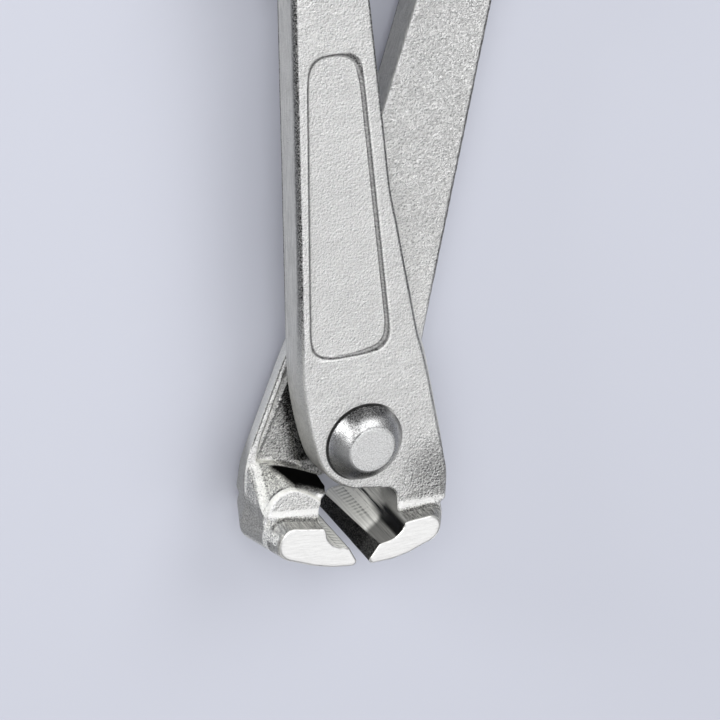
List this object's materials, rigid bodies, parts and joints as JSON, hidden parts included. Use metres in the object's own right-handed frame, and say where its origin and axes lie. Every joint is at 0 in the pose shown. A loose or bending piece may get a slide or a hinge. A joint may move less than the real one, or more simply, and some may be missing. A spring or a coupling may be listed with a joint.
{
  "type": "end-cutting nippers",
  "caption": "End-cutting nippers with long handles, for gripping, twisting and cutting wire across the end of the jaws.",
  "frame": {"origin": "under the middle of the tool's bounding box, on the surface it lies on", "axes": "+Z along the rivet, from the back lever to the front lever; +Y from the jaws to the handles, midway between the levers; +X to the right as seen from the front with the handles up"},
  "size_m": [0.1066, 0.2982, 0.029],
  "materials": {
    "plated_steel": "matte zinc plating over a blasted forging, with ground side faces and cutting edges",
    "rivet_steel": "plated and polished dome with a matte flat",
    "grip_plastic": "satin dipped plastic"
  },
  "bodies": {
    "front_half": {"front_lever": "plated_steel", "rivet": "rivet_steel", "front_grip": "grip_plastic"},
    "back_half": {"back_lever": "plated_steel", "back_grip": "grip_plastic"}
  },
  "joints": [
    {"name": "rivet_hinge", "type": "hinge", "parent": "front_half", "child": "back_half", "pos_m": [0, -0.12024, 0.0145], "axis": [0, 0, -1], "range_deg": [-5.4, 45]}
  ]
}
